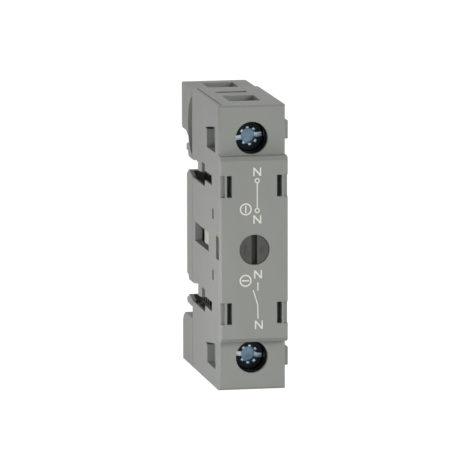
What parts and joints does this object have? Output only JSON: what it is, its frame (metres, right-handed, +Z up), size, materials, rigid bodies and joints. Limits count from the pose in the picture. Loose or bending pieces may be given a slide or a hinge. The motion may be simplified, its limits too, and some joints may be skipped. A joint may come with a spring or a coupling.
{
  "type": "switch disconnector additional pole",
  "caption": "Switched pole module for a rail-mounted switch disconnector, with a turning position indicator, a screw terminal at each end and a sliding side coupling.",
  "frame": {"origin": "on the flat lower end, in the middle of the housing's width and of the part's whole depth", "axes": "+X to the right seen from the front, +Y to the rear (the mounting rail), +Z up along the housing's height"},
  "size_m": [0.0194, 0.0546, 0.074],
  "materials": {
    "front_moulding": "light grey, matte",
    "cover_moulding": "light grey, matte",
    "base_moulding": "light grey, matte",
    "rotor_plastic": "dark grey, satin",
    "retainer_plastic": "off-white, matte",
    "carrier_plastic": "cream, matte",
    "pin_steel": "ground",
    "copper": "bare copper",
    "spring_steel": "bright wire",
    "contact_silver": "silver, satin",
    "zinc_steel": "zinc plated",
    "screw_zinc": "bright zinc plated",
    "arc_steel": "plain",
    "chute_fibre": "brown fibre",
    "clip_plastic": "grey, matte"
  },
  "bodies": {
    "housing": {"front_shell": "front_moulding", "side_cover": "cover_moulding", "rear_base": "base_moulding", "rotor_retainer": "retainer_plastic", "upper_terminal_bar": "copper", "lower_terminal_bar": "copper", "upper_terminal_frame": "zinc_steel", "lower_terminal_frame": "zinc_steel", "upper_fixed_tip": "contact_silver", "lower_fixed_tip": "contact_silver", "upper_arc_plates": "arc_steel", "lower_arc_plates": "arc_steel", "upper_arc_chute": "chute_fibre", "lower_arc_chute": "chute_fibre", "rail_clip_spring": "spring_steel"},
    "rotor": {"position_rotor": "rotor_plastic"},
    "carrier": {"contact_carrier": "carrier_plastic", "follower_pin": "pin_steel", "contact_bridge": "copper", "contact_spring": "spring_steel", "upper_moving_tip": "contact_silver", "lower_moving_tip": "contact_silver"},
    "upper_plate": {"upper_pressure_plate": "zinc_steel"},
    "upper_screw": {"upper_terminal_screw": "screw_zinc"},
    "lower_plate": {"lower_pressure_plate": "zinc_steel"},
    "lower_screw": {"lower_terminal_screw": "screw_zinc"},
    "clip": {"rail_clip": "clip_plastic"}
  },
  "joints": [
    {"name": "rotor_turn", "type": "hinge", "parent": "housing", "child": "rotor", "pos_m": [0, -0.0238, 0.037], "axis": [0, -1, 0], "range_deg": [0, 90]},
    {"name": "carrier_slide", "type": "slide", "parent": "housing", "child": "carrier", "axis": [0, 1, 0], "range_m": [0, 0.011]},
    {"name": "upper_plate_slide", "type": "slide", "parent": "housing", "child": "upper_plate", "axis": [0, 1, 0], "range_m": [-0.00347, 0.00312]},
    {"name": "upper_screw_turn", "type": "hinge", "parent": "upper_plate", "child": "upper_screw", "pos_m": [0, -0.0195, 0.0655], "axis": [0, 1, 0], "range_deg": [-1000, 900]},
    {"name": "lower_plate_slide", "type": "slide", "parent": "housing", "child": "lower_plate", "axis": [0, 1, 0], "range_m": [-0.00347, 0.00312]},
    {"name": "lower_screw_turn", "type": "hinge", "parent": "lower_plate", "child": "lower_screw", "pos_m": [0, -0.0195, 0.0085], "axis": [0, 1, 0], "range_deg": [-1000, 900]},
    {"name": "clip_slide", "type": "slide", "parent": "housing", "child": "clip", "axis": [0, 0, -1], "range_m": [0, 0.003], "stiffness_N_per_m": 800, "springref_m": -0.002, "deforming": ["rail_clip_spring"]}
  ],
  "couplings": [
    {"joint": "rotor_turn", "follows": "carrier_slide", "rad_per_m": 142.79},
    {"joint": "upper_screw_turn", "follows": "upper_plate_slide", "rad_per_m": 5026.5},
    {"joint": "lower_screw_turn", "follows": "lower_plate_slide", "rad_per_m": 5026.5}
  ]
}
